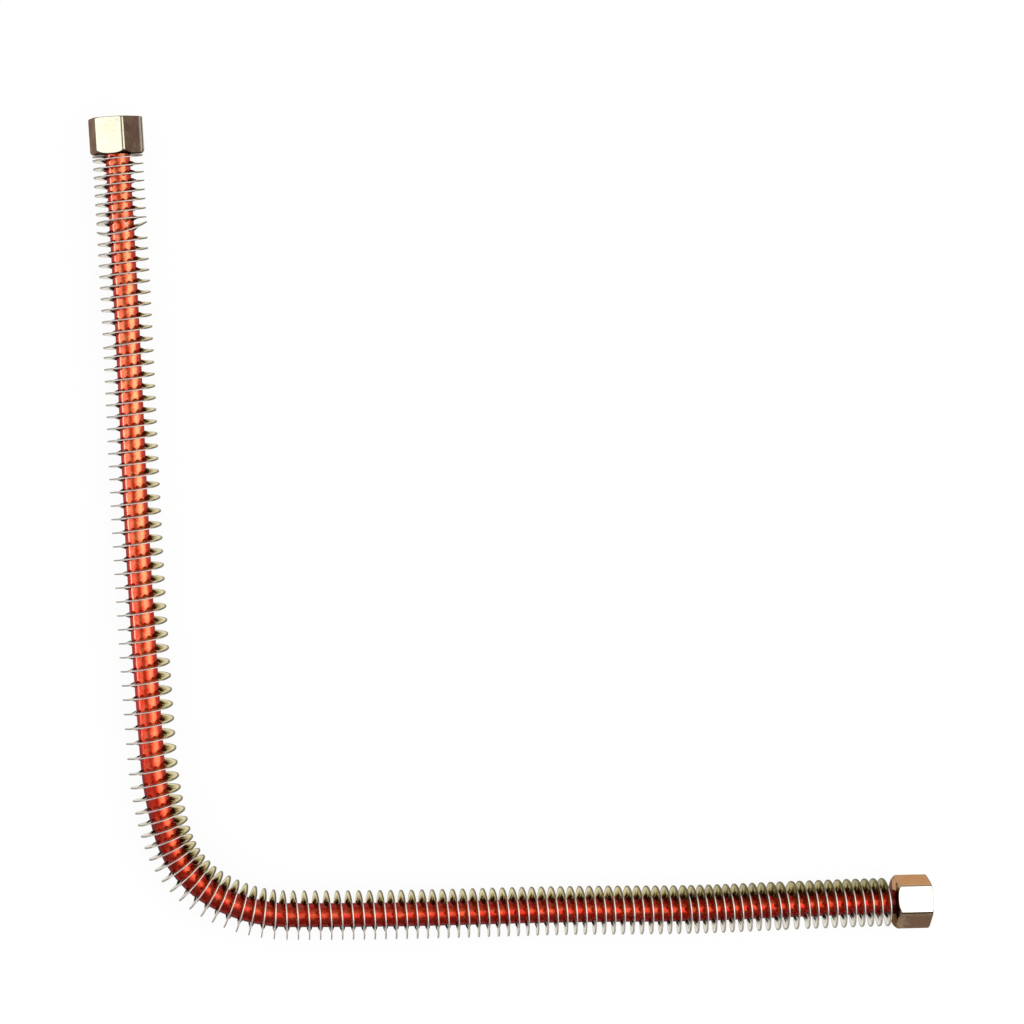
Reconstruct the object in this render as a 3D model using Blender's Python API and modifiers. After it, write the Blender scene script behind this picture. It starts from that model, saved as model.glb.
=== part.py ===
"""Finned discharge tube of a piston air compressor: a bent copper tube with a metal fin strip
wound round it on edge, and a loose union nut held on each end by a cone sleeve.

The part lies on its side. The run points along +X, the riser along +Y, and +Z is up.
Run it with: blender --background --python part.py
"""

import math
from math import cos, radians, sin, tan

import bmesh
import bpy
from mathutils import Matrix, Vector

MM = 0.001

# Copper tube
TUBE_DIAMETER = 12.0 * MM
TUBE_WALL = 1.0 * MM
TUBE_SIDE_STEPS = 6

# Route of its centre line, from the riser's end to the run's end: a length and a turn for each stretch.
# The legs are a little wavy, as a tube bent by hand is, and the bend is sharpest in its middle.
RISER_TOP_LENGTH = 153.7 * MM
RISER_FOOT_LENGTH = 157.0 * MM
BEND_SIDE_LENGTH = 39.3 * MM
BEND_MIDDLE_LENGTH = 38.2 * MM
RUN_START_LENGTH = 100.0 * MM
RUN_MIDDLE_LENGTH = 80.0 * MM
RUN_CROOK_LENGTH = 50.0 * MM
RUN_END_LENGTH = 91.0 * MM
RISER = (
    (RISER_TOP_LENGTH, radians(-1.2)),
    (RISER_FOOT_LENGTH, radians(2.1)),
)
BEND = (
    (BEND_SIDE_LENGTH, radians(11.9)),
    (BEND_MIDDLE_LENGTH, radians(42.5)),
    (BEND_SIDE_LENGTH, radians(30.0)),
)
RUN = (
    (RUN_START_LENGTH, radians(1.9)),
    (RUN_MIDDLE_LENGTH, radians(-1.7)),
    (RUN_CROOK_LENGTH, radians(2.7)),
    (RUN_END_LENGTH, radians(-1.4)),
)
ROUTE_TOLERANCE = 0.1 * MM

# Fin strip, wound on edge as a right-handed helix
FIN_DIAMETER = 24.6 * MM
FIN_THICKNESS = 0.7 * MM
FIN_NUT_GAP = 0.3 * MM
FIN_END_GAP = 2.2 * MM
FIN_FLAT_START = 0.5
FIN_STEPS_PER_TURN = 10

# Pitch of the winding, evenly spaced along each stretch
RISER_PITCHES = [p * MM for p in (3.95, 5.11, 5.82, 5.83, 6.63, 6.83, 6.93, 7.55)]
BEND_PITCHES = [p * MM for p in (6.26, 5.00, 5.52, 5.56)]
RUN_PITCHES = [p * MM for p in (5.56, 5.35, 5.08, 4.85, 4.83, 4.43, 5.06, 4.36)]
PITCH_DROP_LENGTH = 12.0 * MM

# Turns whose rim is knocked out of line: turn number, how far the rim leans, and over how many turns
KNOCKED_TURNS = (
    (8.5, -2.8 * MM, 0.17),
    (9.0, -0.9 * MM, 0.35),
    (19.0, 1.0 * MM, 0.30),
    (122.0, -0.9 * MM, 0.45),
    (124.0, 0.8 * MM, 0.45),
)

# Union nut. Its open face is beyond the tube's end.
NUT_ACROSS_FLATS = 24.0 * MM
NUT_LENGTH = 18.0 * MM
NUT_EDGE_RADIUS = 1.2 * MM
NUT_REAR_FACE_RADIUS = 11.6 * MM
NUT_REAR_CHAMFER = radians(30.0)
NUT_FRONT_FACE_RADIUS = 13.0 * MM
NUT_FRONT_CHAMFER = radians(30.0)
NUT_REAR_WALL = 2.8 * MM
THREAD_MINOR_DIAMETER = 18.4 * MM
THREAD_MAJOR_DIAMETER = 20.0 * MM
THREAD_MOUTH_MARGIN = 0.2 * MM
NUT_RUNNING_GAP = 0.3 * MM
TUBE_SETBACK = 5.0 * MM
RISER_NUT_TURN = radians(15.6)
RUN_NUT_TURN = radians(-15.6)

# Cone sleeve pressed on each end of the tube, which holds the nut
SLEEVE_THREAD_GAP = 0.7 * MM
SLEEVE_FIT_GAP = 0.3 * MM
SLEEVE_LENGTH = 8.0 * MM
SLEEVE_NOSE_WALL = 0.6 * MM
SLEEVE_NOSE_LENGTH = 4.0 * MM
SLEEVE_HEEL_WALL = 0.7 * MM

ROUND_STEPS = 32
CUT_OVER = 1.0 * MM

# Worked out from the values above
TUBE_RADIUS = TUBE_DIAMETER / 2
STRETCHES = RISER + BEND + RUN
RISER_FOOT = sum(length for length, turn in RISER)
BEND_END = sum(length for length, turn in RISER + BEND)
ROUTE_LENGTH = sum(length for length, turn in STRETCHES)
NUT_REAR = NUT_LENGTH - TUBE_SETBACK
FIN_START = NUT_REAR + FIN_NUT_GAP + FIN_THICKNESS / 2
FIN_END = ROUTE_LENGTH - NUT_REAR - FIN_END_GAP


def route_frame(distance):
    """Centre of the tube at a distance from the riser's end, the way along it and the bend's outer side."""
    heading = -sum(turn for length, turn in STRETCHES)
    centre = Vector((0, 0, 0))
    for length, turn in STRETCHES:
        step = min(distance, length)
        share = turn * step / length
        chord = step * sin(share / 2) / (share / 2) if share else step
        middle = heading + share / 2
        centre += chord * Vector((cos(middle), sin(middle), 0))
        heading += share
        distance -= step
        if distance <= 0:
            break
    along = Vector((cos(heading), sin(heading), 0))
    outer = Vector((sin(heading), -cos(heading), 0))
    return centre, along, outer


def evenly(values, start, end):
    """Stops of (distance, value) spread evenly from start to end."""
    step = (end - start) / (len(values) - 1)
    return [(start + step * i, value) for i, value in enumerate(values)]


def pitch_at(distance):
    """Pitch of the fin strip at a distance along the tube."""
    stops = evenly(RISER_PITCHES, FIN_START, RISER_FOOT)
    stops += evenly(BEND_PITCHES, RISER_FOOT + PITCH_DROP_LENGTH, BEND_END)
    stops += evenly(RUN_PITCHES, BEND_END, FIN_END)[1:]
    for (before, low), (after, high) in zip(stops, stops[1:]):
        if distance <= after:
            share = max(0.0, (distance - before) / (after - before))
            return low + (high - low) * share
    return stops[-1][1]


def winding(steps_per_turn):
    """Distance along the tube of each step of the winding. It starts flat against the riser's nut."""
    places = [FIN_START] * (round(FIN_FLAT_START * steps_per_turn) + 1)
    while places[-1] < FIN_END:
        half_way = places[-1] + pitch_at(places[-1]) / steps_per_turn / 2
        places.append(places[-1] + pitch_at(half_way) / steps_per_turn)
    return places[:-1]


def lean(turn):
    """How far the strip's rim leans along the tube at a turn."""
    return sum(far * math.exp(-(((turn - at) / spread) ** 2)) for at, far, spread in KNOCKED_TURNS)


def new_object(name, data, material, parent):
    """An object that shows data, in the part's collection."""
    made = bpy.data.objects.new(name, data)
    data.materials.clear()
    data.materials.append(material)
    bpy.data.collections["finned_tube"].objects.link(made)
    made.parent = parent
    return made


def finish(name, colour, metallic, roughness):
    """A plain Principled material."""
    material = bpy.data.materials.new(name)
    material.use_nodes = True
    shader = material.node_tree.nodes["Principled BSDF"]
    shader.inputs["Base Color"].default_value = (*colour, 1)
    shader.inputs["Metallic"].default_value = metallic
    shader.inputs["Roughness"].default_value = roughness
    return material


def smooth(mesh, angle=radians(35)):
    """Round faces shaded smooth, with edges over the angle kept sharp."""
    mesh.shade_smooth()
    mesh.set_sharp_from_angle(angle=angle)


def tube_stations():
    """Distances of the tube's control points: the sharper a stretch turns, the closer they are."""
    stations = [0.0]
    for length, turn in STRETCHES:
        count = max(1, math.ceil(math.sqrt(length * abs(turn) / (8 * ROUTE_TOLERANCE))))
        start = stations[-1]
        stations += [start + length * (i + 1) / count for i in range(count)]
    return stations


def make_tube(root):
    """The hollow copper tube, as a bevelled curve with a wall."""
    curve = bpy.data.curves.new("tube", "CURVE")
    curve.dimensions = "3D"
    curve.bevel_depth = TUBE_RADIUS
    curve.bevel_resolution = TUBE_SIDE_STEPS
    stations = tube_stations()
    spline = curve.splines.new("POLY")
    spline.points.add(len(stations) - 1)
    for point, distance in zip(spline.points, stations):
        point.co = (*route_frame(distance)[0], 1)
    lacquer = finish("red_lacquered_copper", (0.62, 0.06, 0.015), 0.7, 0.2)
    tube = new_object("tube", curve, lacquer, root)
    wall = tube.modifiers.new("wall", "SOLIDIFY")
    wall.thickness = TUBE_WALL
    wall.offset = -1
    return tube


def make_fin(root):
    """The fin strip: a flat sheet, one row of faces, wound round the tube and given its thickness."""
    inner = (TUBE_RADIUS + NUT_RUNNING_GAP) / cos(math.pi / FIN_STEPS_PER_TURN)
    outer = FIN_DIAMETER / 2
    places = winding(FIN_STEPS_PER_TURN)
    sheet = bmesh.new()
    bmesh.ops.create_grid(sheet, x_segments=len(places) - 1, y_segments=1, size=0.5)
    for vert in sheet.verts:
        step = round((vert.co.x + 0.5) * (len(places) - 1))
        rim = vert.co.y > 0
        angle = math.tau * step / FIN_STEPS_PER_TURN
        radius = outer if rim else inner
        knock = lean(angle / math.tau) if rim else 0.0
        centre, along, side = route_frame(places[step])
        across = side * cos(angle) - Vector((0, 0, 1)) * sin(angle)
        vert.co = centre + across * radius + along * knock
    mesh = bpy.data.meshes.new("fin_strip")
    sheet.to_mesh(mesh)
    sheet.free()
    zinc = finish("passivated_strip", (0.36, 0.36, 0.24), 0.9, 0.35)
    fin = new_object("fin_strip", mesh, zinc, root)
    thick = fin.modifiers.new("thickness", "SOLIDIFY")
    thick.thickness = FIN_THICKNESS
    thick.offset = 0
    return fin


def turned(name, profile, closed):
    """A mesh turned about Z from a profile of (radius, height) points, down its outer side."""
    mesh = bpy.data.meshes.new(name)
    edges = [(i, i + 1) for i in range(len(profile) - 1)]
    if closed:
        edges.append((len(profile) - 1, 0))
    mesh.from_pydata([(radius, 0, height) for radius, height in profile], edges, [])
    made = bpy.data.objects.new(name, mesh)
    bpy.context.scene.collection.objects.link(made)
    screw = made.modifiers.new("turn", "SCREW")
    screw.steps = ROUND_STEPS
    screw.render_steps = ROUND_STEPS
    screw.use_merge_vertices = True
    screw.merge_threshold = 1e-5
    return made


def baked(made):
    """The evaluated mesh of an object, which is removed."""
    graph = bpy.context.evaluated_depsgraph_get()
    mesh = bpy.data.meshes.new_from_object(made.evaluated_get(graph))
    bpy.data.objects.remove(made)
    return mesh


def hexagon():
    """The nut's blank, with its six long edges rounded and a flat facing +X. Its open face is at Z = 0."""
    blank = bmesh.new()
    bmesh.ops.create_cone(
        blank,
        cap_ends=True,
        segments=6,
        radius1=NUT_ACROSS_FLATS / math.sqrt(3),
        radius2=NUT_ACROSS_FLATS / math.sqrt(3),
        depth=NUT_LENGTH,
        matrix=Matrix.Translation((0, 0, -NUT_LENGTH / 2)),
    )
    long_edges = [e for e in blank.edges if abs(e.verts[0].co.z - e.verts[1].co.z) > NUT_LENGTH / 2]
    rounding = NUT_EDGE_RADIUS * tan(radians(30))
    bmesh.ops.bevel(blank, geom=long_edges, offset=rounding, segments=3, profile=0.5, affect="EDGES")
    mesh = bpy.data.meshes.new("hexagon")
    blank.to_mesh(mesh)
    blank.free()
    made = bpy.data.objects.new("hexagon", mesh)
    bpy.context.scene.collection.objects.link(made)
    return made


def nut_mesh():
    """The union nut: a hexagon chamfered at both ends, with a threaded socket and a shoulder for the sleeve."""
    corner = NUT_ACROSS_FLATS / math.sqrt(3) + CUT_OVER
    front_drop = (corner - NUT_FRONT_FACE_RADIUS) * tan(NUT_FRONT_CHAMFER)
    rear_rise = (corner - NUT_REAR_FACE_RADIUS) * tan(NUT_REAR_CHAMFER)
    envelope = turned(
        "envelope",
        [
            (0, 0),
            (NUT_FRONT_FACE_RADIUS, 0),
            (corner, -front_drop),
            (corner, -NUT_LENGTH + rear_rise),
            (NUT_REAR_FACE_RADIUS, -NUT_LENGTH),
            (0, -NUT_LENGTH),
        ],
        closed=False,
    )
    bore_radius = TUBE_RADIUS + NUT_RUNNING_GAP
    thread_radius = THREAD_MINOR_DIAMETER / 2
    mouth_radius = THREAD_MAJOR_DIAMETER / 2 + THREAD_MOUTH_MARGIN
    shoulder = -NUT_LENGTH + NUT_REAR_WALL
    bore = turned(
        "bore",
        [
            (0, CUT_OVER),
            (mouth_radius + CUT_OVER, CUT_OVER),
            (thread_radius, thread_radius - mouth_radius),
            (thread_radius, shoulder + thread_radius - bore_radius),
            (bore_radius, shoulder),
            (bore_radius, -NUT_LENGTH - CUT_OVER),
            (0, -NUT_LENGTH - CUT_OVER),
        ],
        closed=False,
    )
    blank = hexagon()
    for cutter, operation in ((envelope, "INTERSECT"), (bore, "DIFFERENCE")):
        cut = blank.modifiers.new(cutter.name, "BOOLEAN")
        cut.operation = operation
        cut.object = cutter
    mesh = baked(blank)
    bpy.data.objects.remove(envelope)
    bpy.data.objects.remove(bore)
    mesh.name = "union_nut"
    smooth(mesh)
    return mesh


def sleeve_mesh():
    """The cone sleeve, in the nut's own axes: its heel seats on the nut's shoulder."""
    inner = TUBE_RADIUS + SLEEVE_FIT_GAP
    outer = THREAD_MINOR_DIAMETER / 2 - SLEEVE_THREAD_GAP
    heel = inner + SLEEVE_HEEL_WALL
    seat_lift = NUT_RUNNING_GAP * math.sqrt(2)
    shoulder = -NUT_LENGTH + NUT_REAR_WALL + seat_lift
    base = shoulder + heel - (TUBE_RADIUS + NUT_RUNNING_GAP)
    made = turned(
        "sleeve",
        [
            (inner, base + SLEEVE_LENGTH),
            (inner + SLEEVE_NOSE_WALL, base + SLEEVE_LENGTH),
            (outer, base + SLEEVE_LENGTH - SLEEVE_NOSE_LENGTH),
            (outer, base + outer - heel),
            (heel, base),
            (inner, base),
        ],
        closed=True,
    )
    mesh = baked(made)
    mesh.name = "cone_sleeve"
    smooth(mesh)
    return mesh


def end_matrix(distance, outward_sign, turn):
    """Axes of a nut at one end of the tube: Z out of the tube, X through a flat, turned from +Z."""
    centre, along, outer = route_frame(distance)
    outward = along * outward_sign
    flat = Vector((0, 0, 1)) * cos(turn) + outer * sin(turn)
    third = outward.cross(flat)
    matrix = Matrix((flat, third, outward)).transposed().to_4x4()
    matrix.translation = centre + outward * TUBE_SETBACK
    return matrix


def make_ends(root):
    """A nut and its sleeve on each end of the tube."""
    yellow_zinc = finish("yellow_zinc_plate", (0.55, 0.42, 0.2), 1.0, 0.22)
    brass = finish("brass", (0.62, 0.42, 0.14), 1.0, 0.3)
    nut = nut_mesh()
    sleeve = sleeve_mesh()
    ends = (("riser", 0.0, -1, RISER_NUT_TURN), ("run", ROUTE_LENGTH, 1, RUN_NUT_TURN))
    for end, distance, sign, turn in ends:
        matrix = end_matrix(distance, sign, turn)
        new_object(end + "_sleeve", sleeve, brass, root).matrix_local = matrix
        new_object(end + "_nut", nut, yellow_zinc, root).matrix_local = matrix


def seat_on_floor(root):
    """Moves the part so that its box stands on Z = 0 with its middle over the origin."""
    bpy.context.view_layer.update()
    graph = bpy.context.evaluated_depsgraph_get()
    corners = []
    for made in root.children:
        evaluated = made.evaluated_get(graph)
        mesh = evaluated.to_mesh()
        corners += [evaluated.matrix_world @ vert.co for vert in mesh.vertices]
        evaluated.to_mesh_clear()
    low = Vector(min(corner[axis] for corner in corners) for axis in range(3))
    high = Vector(max(corner[axis] for corner in corners) for axis in range(3))
    root.location = (-(low.x + high.x) / 2, -(low.y + high.y) / 2, -low.z)


def main():
    for old in list(bpy.data.objects):
        bpy.data.objects.remove(old)
    parts = bpy.data.collections.new("finned_tube")
    bpy.context.scene.collection.children.link(parts)
    root = bpy.data.objects.new("finned_tube_root", None)
    parts.objects.link(root)
    make_tube(root)
    make_fin(root)
    make_ends(root)
    seat_on_floor(root)


if __name__ == "__main__":
    main()
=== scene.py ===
"""Finned discharge tube of a piston air compressor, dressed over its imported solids.

A bent copper tube under red lacquer carries a crimped metal strip wound on edge as a cooling
fin, and a yellow zinc plated union nut turns on each end. The part lies on its side: +X along
the run, +Y along the riser, +Z up.
"""

import math
from math import cos, radians, sin, tan

import bmesh
import bpy
from mathutils import Euler, Matrix, Vector


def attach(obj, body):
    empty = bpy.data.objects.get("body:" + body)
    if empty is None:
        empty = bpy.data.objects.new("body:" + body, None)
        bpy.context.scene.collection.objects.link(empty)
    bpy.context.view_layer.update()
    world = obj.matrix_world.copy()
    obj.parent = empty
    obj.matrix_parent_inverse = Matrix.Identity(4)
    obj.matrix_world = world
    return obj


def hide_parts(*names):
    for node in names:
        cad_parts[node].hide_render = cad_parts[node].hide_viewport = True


bl_info = {
    "name": "Finned discharge tube",
    "version": (1, 0, 0),
    "blender": (4, 5, 0),
    "location": "View3D > Sidebar > Finned Tube",
    "description": "Builds a finned compressor discharge tube, its union nuts and a studio stage",
    "category": "Add Mesh",
}

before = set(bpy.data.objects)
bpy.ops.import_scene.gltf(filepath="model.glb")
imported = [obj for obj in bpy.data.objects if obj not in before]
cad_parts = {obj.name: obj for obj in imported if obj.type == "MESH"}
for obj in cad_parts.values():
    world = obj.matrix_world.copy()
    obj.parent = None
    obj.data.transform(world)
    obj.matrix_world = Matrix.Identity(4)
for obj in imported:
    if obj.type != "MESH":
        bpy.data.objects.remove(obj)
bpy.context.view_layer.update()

MM = 0.001
BODY = "finned_tube"

UP = Vector((0, 0, 1))

# Where the tube's end at the riser lies; the route starts there
ROOT = Vector((-0.19728, 0.199068, 0.013263))

# Route of the tube's centre line: a length and a turn for each stretch
RISER = ((153.7 * MM, radians(-1.2)), (157.0 * MM, radians(2.1)))
BEND = ((39.3 * MM, radians(11.9)), (38.2 * MM, radians(42.5)), (39.3 * MM, radians(30.0)))
RUN = (
    (100.0 * MM, radians(1.9)),
    (80.0 * MM, radians(-1.7)),
    (50.0 * MM, radians(2.7)),
    (91.0 * MM, radians(-1.4)),
)
STRETCHES = RISER + BEND + RUN
RISER_FOOT = sum(length for length, turn in RISER)
BEND_END = sum(length for length, turn in RISER + BEND)
ROUTE_LENGTH = sum(length for length, turn in STRETCHES)

# The hollow tube's mesh
TUBE_SIDES = 48
TUBE_STEP = 4.0 * MM
TUBE_EDGE_BREAK = 0.2 * MM

# A pale bead on the riser's lacquer
BEAD_PLACE = Vector((-0.1929, 0.15229, 0.0190))
BEAD_SIZE = (0.55 * MM, 0.9 * MM, 0.5 * MM)
BEAD_COLOUR = (0.95, 0.80, 0.74)

# Lacquered copper. Pairs are for the riser's top and for its foot and on, but the edges' pair
# is for the bend's inner and outer side. The first two pairs colour two painted highlight streaks; the edges'
# pair and the shaded colour are painted shade on the flanks and the outer half
LACQUER_METAL = 0.88
LACQUER_OUTER_HIGHLIGHT = ((0.97, 0.19, 0.10), (0.95, 0.045, 0.015))
LACQUER_INNER_HIGHLIGHT = ((1.0, 0.38, 0.20), (0.95, 0.19, 0.08))
LACQUER_GLOW = ((1.0, 0.50, 0.2), (0.95, 0.25, 0.11))
LACQUER_EDGE_SHADES = ((0.20, 0.012, 0.012), (0.055, 0.008, 0.008))
LACQUER_SHADED = (0.45, 0.025, 0.022)
# A painted highlight: a fine pale line along the upper riser
LACQUER_HIGHLIGHT_LINE = (1.0, 0.62, 0.50)
# Painted shade on the tube's end by the run's nut, where the nut keeps the light off
LACQUER_NUT_SHADE = (0.22, 0.03, 0.025)
NUT_SHADE_START = 16.5 * MM
NUT_SHADE_FULL = 15.0 * MM

# Winding of the fin strip: it starts flat for half a turn, and its pitches are spread evenly over
# the riser, the bend and the run
FIN_NUT_GAP = 0.3 * MM
FIN_END_GAP = 2.2 * MM
FIN_FLAT_START = 0.5
FIN_START_THICKNESS = 0.7 * MM
FIN_ROOT_GAP = 0.05 * MM
FIN_BANDS = (0.0, 0.12, 0.26, 0.42, 0.8, 1.0)
FIN_CRIMP_REACH = 0.5
FIN_WEAK_CRIMP_TURNS = 0.3
FIN_WEAK_CRIMP_SWING = 0.3
RISER_PITCHES = [p * MM for p in (3.95, 5.11, 5.82, 5.83, 6.63, 6.83, 6.93, 7.55)]
BEND_PITCHES = [p * MM for p in (6.26, 5.00, 5.52, 5.56)]
RUN_PITCHES = [p * MM for p in (5.56, 5.35, 5.08, 4.85, 4.83, 4.43, 5.06, 4.36)]
PITCH_DROP_LENGTH = 12.0 * MM
FIN_TOP_LEAN = 0.5 * MM

# Turns knocked out of true: the turn, how far its rim leans along the tube, and how many turns it spreads
KNOCKED_TURNS = (
    (7.75, -1.2 * MM, 0.20),
    (8.5, -2.8 * MM, 0.17),
    (8.75, 0.4 * MM, 0.12),
    (8.85, 0.8 * MM, 0.13),
    (9.0, -1.3 * MM, 0.10),
    (19.0, 1.0 * MM, 0.30),
    (110.75, 0.8 * MM, 0.25),
    (120.75, 0.8 * MM, 0.20),
    (121.75, 0.8 * MM, 0.20),
    (122.0, -0.9 * MM, 0.45),
    (122.5, 1.4 * MM, 0.2),
    (124.0, 0.8 * MM, 0.45),
)

# Colours of the strip; pairs are for the bend's outer and inner side
STRIP_LATER = (0.34, 0.34, 0.18)
STRIP_BLOOM = (0.80, 0.62, 0.26)
STRIP_STAIN = (0.40, 0.32, 0.18)
# Painted shade with the plating's yellow, darkening the faces toward the root on the bend's inner side
STRIP_INNER = (0.36, 0.28, 0.10)
# The root's red: the lacquer over it and a painted reflection of the red tube
STRIP_ROOT = (0.80, 0.15, 0.07)
# Painted shade in the root's hollows at the sides
STRIP_ROOT_SHADES = ((0.13, 0.13, 0.14), (0.27, 0.18, 0.075))
# Painted shade lines beside the rim
STRIP_SHADE_LINES = ((0.17, 0.165, 0.16), (0.085, 0.072, 0.045))
# The rim: a painted highlight on top and painted shade at the sides
STRIP_LIT_RIM = (0.95, 0.82, 0.77)
STRIP_SHADED_RIMS = ((0.26, 0.255, 0.25), (0.10, 0.085, 0.055))

# Union nuts
NUT_REAR_FACE_RADIUS = 11.6 * MM
NUT_FRONT_FACE_RADIUS = 12.7 * MM
NUT_REAR_ROUNDING = 1.15 * MM
NUT_REAR_RIM = 0.2 * MM
NUT_REAR_REACH = 1.4 * MM
NUT_REAR_CURVE = 1.6
NUT_FRONT_RIM = 0.12 * MM
NUT_FACE_INSET = 0.01 * MM
NUT_CHAMFER = radians(30.0)
NUT_EDGE_BREAK = 0.25 * MM
NUT_EDGE_BEVEL = 0.08 * MM
NUT_REAR_WALL = 2.8 * MM
THREAD_MOUTH_MARGIN = 0.2 * MM
THREAD_RUNOUT = 1.2 * MM
THREAD_FADE_START = 0.4 * MM
THREAD_STEPS = 6
NUT_RUNNING_GAP = 0.3 * MM
TUBE_SETBACK = 5.0 * MM
NUT_TURNS = {"riser": radians(15.6), "run": radians(-15.6)}

# Stops across each half of a flat, with the one of its painted highlight line, and steps round each long edge
NUT_FLAT_STOPS = (0.36, 0.64, 0.82, 0.94, 1.0)
NUT_HIGHLIGHT_STOP = 0.82
NUT_ARC_STEPS = 6

# Tint of the zinc on each flat, from the one that faces up and on round the nut, and on the faces. Partly the
# plating's own tint and partly painted reflection: a painted highlight on the flat that faces up and painted
# shade on the dark ones
NUT_TINTS_AND_REFLECTIONS = {
    "riser": ((0.93, 0.95, 0.74), (0.315, 0.18, 0.127), (0.60, 0.50, 0.28), (0.55, 0.42, 0.26),
              (0.66, 0.60, 0.40), (0.26, 0.20, 0.20)),
    "run": ((0.90, 0.89, 0.76), (0.165, 0.10, 0.068), (0.60, 0.50, 0.28), (0.55, 0.42, 0.26),
            (0.66, 0.60, 0.40), (0.62, 0.34, 0.18)),
}
# Painted highlight band on the banded long edges
NUT_EDGE_HIGHLIGHT = (0.66, 0.62, 0.48)
# Painted shade: dark lines at the corners and at the hexagon's ends
NUT_SHADE_LINE_TINT = (0.10, 0.085, 0.06)
NUT_FACE_TINT = (0.58, 0.50, 0.33)
NUT_LINE_WIDTH = 0.4 * MM
NUT_SHADE_LINE_SHARE = 0.65
# A painted highlight line on the banded flats
NUT_HIGHLIGHT_TINT = (1.0, 0.98, 0.90)
# Painted shade with a red reflection of the tube on the nuts' rear
NUT_REAR_SHADE = (0.12, 0.04, 0.03)
# A pale painted reflection on the rear of some flats
NUT_REAR_REFLECTION_TINT = (0.90, 0.55, 0.38)

# Corners with a painted highlight band between painted shade lines, and flats whose rear chamfer has a pale
# painted reflection
NUT_HIGHLIGHT_BANDS = {"riser": (0, 1), "run": ()}
NUT_REAR_REFLECTIONS = {"riser": (), "run": (5,)}

# Cone sleeves
SLEEVE_THREAD_GAP = 0.7 * MM
SLEEVE_FIT_GAP = 0.3 * MM
SLEEVE_LENGTH = 8.0 * MM
SLEEVE_NOSE_WALL = 0.6 * MM
SLEEVE_NOSE_LENGTH = 4.0 * MM
SLEEVE_HEEL_WALL = 0.7 * MM

# Camera, at the photograph's place
CAMERA_PLACE = Vector((-0.1869, 0.08477, 1.5483))
CAMERA_TURN = Euler((radians(-2.7702), radians(-6.853), radians(-0.1307)))
CAMERA_LENS = 108.98

# Grey cards round the part: name, place, turn in degrees, size and level
CARDS = (
    ("top_card", (0.0, 0.0, 1.75), (0.0, 0.0, 0.0), (4.0, 3.0), 0.25),
    ("front_card", (0.0, -0.9, 0.9), (90.0, 0.0, 0.0), (4.0, 1.8), 0.12),
    ("back_card", (0.0, 0.8, 0.9), (90.0, 0.0, 0.0), (4.0, 1.8), 0.36),
    ("right_card", (1.6, 0.0, 0.9), (90.0, 0.0, 90.0), (3.0, 1.8), 0.2),
    ("left_lip", (-1.57, 0.0, 0.15), (90.0, 0.0, 90.0), (0.8, 0.26), 3.5),
    ("left_card", (-1.8, 0.0, 0.9), (90.0, 0.0, 90.0), (3.0, 1.8), 0.3),
)


class TubeSettings(bpy.types.PropertyGroup):
    diameter: bpy.props.FloatProperty(
        name="Diameter", description="Outside diameter of the tube", default=0.012, unit="LENGTH"
    )
    wall: bpy.props.FloatProperty(
        name="Wall", description="Wall of the tube", default=0.001, unit="LENGTH"
    )
    lacquer: bpy.props.FloatVectorProperty(
        name="Lacquer",
        description="Colour of the lacquered copper at the riser's top",
        default=(0.95, 0.085, 0.03),
        subtype="COLOR",
    )
    lacquer_deep: bpy.props.FloatVectorProperty(
        name="Deep lacquer",
        description="Colour that the lacquer deepens to down the riser",
        default=(0.84, 0.032, 0.011),
        subtype="COLOR",
    )
    # Painted shade: a darker colour on the riser's flanks, standing in for the dark reflections there
    painted_flank_shade: bpy.props.FloatVectorProperty(
        name="Flank lacquer",
        description="Colour on the riser's flanks, where the lacquer gathered",
        default=(0.38, 0.022, 0.016),
        subtype="COLOR",
    )


class FinSettings(bpy.types.PropertyGroup):
    diameter: bpy.props.FloatProperty(
        name="Diameter", description="Outside diameter of the winding", default=0.02456, unit="LENGTH"
    )
    thickness: bpy.props.FloatProperty(
        name="Thickness", description="Thickness of the strip", default=0.00056, unit="LENGTH"
    )
    crimp_depth: bpy.props.FloatProperty(
        name="Crimp depth", description="Swing of the crimps at the root", default=0.0011, unit="LENGTH"
    )
    crimps: bpy.props.FloatProperty(
        name="Crimps", description="Crimps in each turn", default=9.4, min=3.0, max=16.0
    )
    steps: bpy.props.IntProperty(
        name="Steps", description="Steps in each turn of the winding", default=60, min=16, max=96
    )
    grey: bpy.props.FloatVectorProperty(
        name="Grey zinc",
        description="Colour of the strip on the bend's outer side",
        default=(0.88, 0.87, 0.87),
        subtype="COLOR",
    )
    olive: bpy.props.FloatVectorProperty(
        name="Olive zinc",
        description="Colour of the strip on the bend's inner side",
        default=(0.82, 0.76, 0.50),
        subtype="COLOR",
    )


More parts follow.
